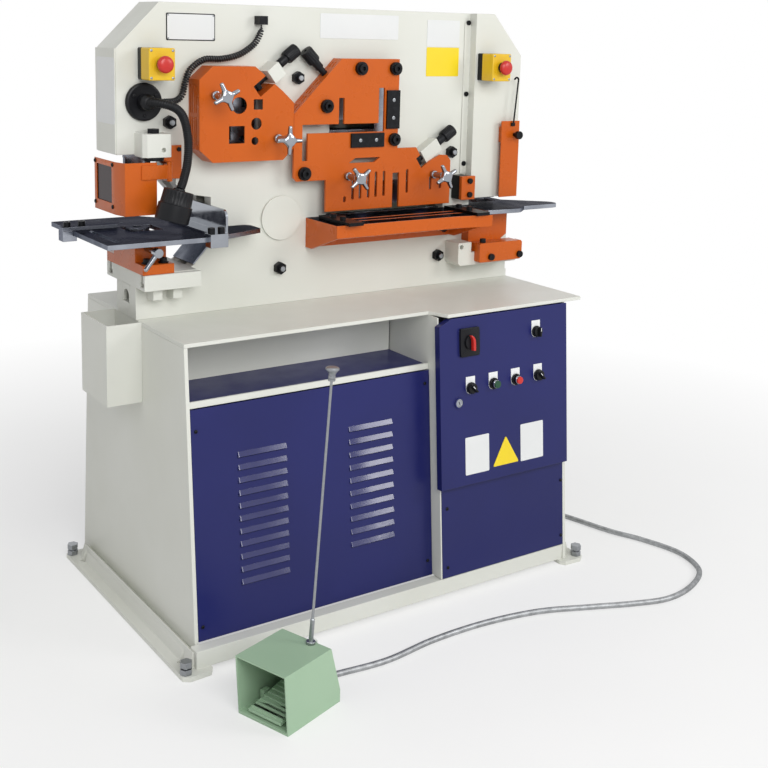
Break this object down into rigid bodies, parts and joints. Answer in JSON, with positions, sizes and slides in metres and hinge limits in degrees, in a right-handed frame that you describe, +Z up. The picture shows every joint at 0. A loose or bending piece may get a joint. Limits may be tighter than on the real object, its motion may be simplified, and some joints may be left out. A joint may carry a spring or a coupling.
{
  "type": "hydraulic ironworker",
  "caption": "Hydraulic ironworker with punch, bar, angle and flat shears and notcher, on a floor cabinet with a control door, lamp and foot switch.",
  "frame": {"origin": "centre of the rectangle over the four foot pads, on the floor", "axes": "+X to the operator's right along the frame plates, +Y to the back, +Z up"},
  "size_m": [1.655, 1.1264, 1.577],
  "materials": {
    "cream_paint": "satin",
    "orange_paint": "satin",
    "blue_paint": "satin",
    "black_paint": "satin",
    "green_paint": "satin",
    "tool_steel": "machined",
    "bright_chrome": "polished",
    "black_screws": "blackened",
    "zinc_steel": "zinc plated",
    "yellow_plastic": "moulded",
    "red_plastic": "moulded",
    "green_plastic": "moulded",
    "black_plastic": "moulded",
    "black_rubber": "sleeve"
  },
  "bodies": {
    "frame": {"base_frame": "cream_paint", "side_plates": "cream_paint", "table_top": "cream_paint", "niche": "cream_paint", "niche_floor": "blue_paint", "cabinet_panels": "blue_paint", "levelling_bolts": "zinc_steel", "scrap_box": "cream_paint", "power_pack": "green_paint", "front_plate": "cream_paint", "rear_plate": "cream_paint", "sheet_covers": "cream_paint", "tie_bolts": "black_screws", "main_pin": "cream_paint", "cylinder_barrels": "tool_steel", "fixed_tools": "tool_steel", "bar_guard": "orange_paint", "shear_guard": "orange_paint", "guide_blocks": "black_screws", "cap_screws": "black_screws", "bench": "orange_paint", "bench_gauges": "black_paint", "notch_table": "tool_steel", "notch_holder": "orange_paint", "notch_guard": "orange_paint", "punch_bed": "cream_paint", "die_bolster": "orange_paint", "punch_table": "tool_steel", "hinge_plate": "orange_paint", "estop_boxes": "yellow_plastic", "work_lamp": "black_plastic", "lamp_cord": "black_rubber", "pedal_guard": "green_paint", "conduit": "zinc_steel"},
    "rocking_beam": {"beam": "tool_steel", "moving_blades": "tool_steel"},
    "cylinder_rod": {"shear_rod": "bright_chrome"},
    "ram": {"punch_ram": "tool_steel"},
    "punch_guard": {"stripper_guard": "orange_paint"},
    "door": {"control_door": "blue_paint"},
    "star_knob_1_body": {"star_knob_1": "bright_chrome"},
    "star_knob_2_body": {"star_knob_2": "bright_chrome"},
    "star_knob_3_body": {"star_knob_3": "bright_chrome"},
    "star_knob_4_body": {"star_knob_4": "bright_chrome"},
    "holddown_screw_1_body": {"holddown_screw_1": "black_plastic"},
    "holddown_screw_2_body": {"holddown_screw_2": "black_plastic"},
    "holddown_screw_3_body": {"holddown_screw_3": "black_plastic"},
    "gauge_bar_body": {"gauge_bar": "tool_steel"},
    "side_fence_body": {"side_fence": "bright_chrome"},
    "clamp_lever_body": {"clamp_lever": "bright_chrome"},
    "estop_button_left_body": {"estop_button_left": "red_plastic"},
    "estop_button_right_body": {"estop_button_right": "red_plastic"},
    "isolator_handle_body": {"isolator_handle": "red_plastic"},
    "selector_top_body": {"selector_top": "black_plastic"},
    "selector_left_body": {"selector_left": "black_plastic"},
    "selector_right_body": {"selector_right": "black_plastic"},
    "green_button_body": {"green_button": "green_plastic"},
    "red_button_body": {"red_button": "red_plastic"},
    "key_lock_body": {"key_lock": "bright_chrome"},
    "pedal_body": {"pedal": "green_paint"}
  },
  "joints": [
    {"name": "beam_rock", "type": "hinge", "parent": "frame", "child": "rocking_beam", "pos_m": [-0.173, 0.052, 1.019], "axis": [0, 1, 0], "range_deg": [0, 3.2]},
    {"name": "rod_stroke", "type": "slide", "parent": "frame", "child": "cylinder_rod", "axis": [0, 0, -1], "range_m": [0, 0.0386]},
    {"name": "ram_stroke", "type": "slide", "parent": "frame", "child": "ram", "axis": [0, 0, -1], "range_m": [0, 0.068]},
    {"name": "guard_swing", "type": "hinge", "parent": "frame", "child": "punch_guard", "pos_m": [-0.516, -0.058, 1.1635], "axis": [0, 0, 1], "range_deg": [0, 28]},
    {"name": "door_swing", "type": "hinge", "parent": "frame", "child": "door", "pos_m": [0.5714, -0.34126, 0.54205], "axis": [0, 0.0802, 0.9968], "range_deg": [0, 90]},
    {"name": "star_knob_1_turn", "type": "hinge", "parent": "frame", "child": "star_knob_1_body", "pos_m": [-0.4, -0.1, 1.351], "axis": [0, 1, 0], "range_deg": [-180, 180]},
    {"name": "star_knob_2_turn", "type": "hinge", "parent": "frame", "child": "star_knob_2_body", "pos_m": [-0.222, -0.1, 1.239], "axis": [0, 1, 0], "range_deg": [-180, 180]},
    {"name": "star_knob_3_turn", "type": "hinge", "parent": "frame", "child": "star_knob_3_body", "pos_m": [0.008, -0.1, 1.128], "axis": [0, 1, 0], "range_deg": [-180, 180]},
    {"name": "star_knob_4_turn", "type": "hinge", "parent": "frame", "child": "star_knob_4_body", "pos_m": [0.298, -0.1, 1.12], "axis": [0, 1, 0], "range_deg": [-180, 180]},
    {"name": "holddown_1_turn", "type": "hinge", "parent": "frame", "child": "holddown_screw_1_body", "pos_m": [-0.262, -0.03, 1.374], "axis": [0.788, 0, 0.6157], "range_deg": [-180, 180]},
    {"name": "holddown_2_turn", "type": "hinge", "parent": "frame", "child": "holddown_screw_2_body", "pos_m": [-0.01783, -0.03, 1.36608], "axis": [-0.7047, 0, 0.7095], "range_deg": [-180, 180]},
    {"name": "holddown_3_turn", "type": "hinge", "parent": "frame", "child": "holddown_screw_3_body", "pos_m": [0.256, -0.03, 1.158], "axis": [0.829, 0, 0.5592], "range_deg": [-180, 180]},
    {"name": "gauge_slide", "type": "slide", "parent": "frame", "child": "gauge_bar_body", "axis": [0, 1, 0], "range_m": [-0.06, 0.08]},
    {"name": "fence_slide", "type": "slide", "parent": "frame", "child": "side_fence_body", "axis": [1, 0, 0], "range_m": [-0.05, 0.008]},
    {"name": "clamp_turn", "type": "hinge", "parent": "frame", "child": "clamp_lever_body", "pos_m": [-0.562, -0.08, 0.968], "axis": [0, 1, 0], "range_deg": [-60, 45]},
    {"name": "estop_left_press", "type": "slide", "parent": "frame", "child": "estop_button_left_body", "axis": [0, 1, 0], "range_m": [0, 0.004]},
    {"name": "estop_right_press", "type": "slide", "parent": "frame", "child": "estop_button_right_body", "axis": [0, 1, 0], "range_m": [0, 0.004]},
    {"name": "isolator_turn", "type": "hinge", "parent": "door", "child": "isolator_handle_body", "pos_m": [0.216, -0.34964, 0.70476], "axis": [0, 0.9968, -0.0802], "range_deg": [0, 90]},
    {"name": "selector_top_turn", "type": "hinge", "parent": "door", "child": "selector_top_body", "pos_m": [0.454, -0.34964, 0.70476], "axis": [0, 0.9968, -0.0802], "range_deg": [-45, 45]},
    {"name": "selector_left_turn", "type": "hinge", "parent": "door", "child": "selector_left_body", "pos_m": [0.22, -0.35978, 0.57876], "axis": [0, 0.9968, -0.0802], "range_deg": [0, 90]},
    {"name": "selector_right_turn", "type": "hinge", "parent": "door", "child": "selector_right_body", "pos_m": [0.46, -0.35962, 0.58076], "axis": [0, 0.9968, -0.0802], "range_deg": [0, 90]},
    {"name": "green_button_press", "type": "slide", "parent": "door", "child": "green_button_body", "axis": [0, 0.9968, -0.0802], "range_m": [0, 0.005], "stiffness_N_per_m": 400},
    {"name": "red_button_press", "type": "slide", "parent": "door", "child": "red_button_body", "axis": [0, 0.9968, -0.0802], "range_m": [0, 0.005], "stiffness_N_per_m": 400},
    {"name": "key_turn", "type": "hinge", "parent": "door", "child": "key_lock_body", "pos_m": [0.18, -0.36268, 0.54276], "axis": [0, 0.9968, -0.0802], "range_deg": [0, 90]},
    {"name": "pedal_press", "type": "hinge", "parent": "frame", "child": "pedal_body", "pos_m": [-0.49691, -0.62251, 0.022], "axis": [-0.3256, 0.9455, 0], "range_deg": [0, 9], "stiffness_Nm_per_rad": 2}
  ],
  "couplings": [
    {"joint": "rod_stroke", "follows": "beam_rock", "m_per_rad": 0.69}
  ]
}
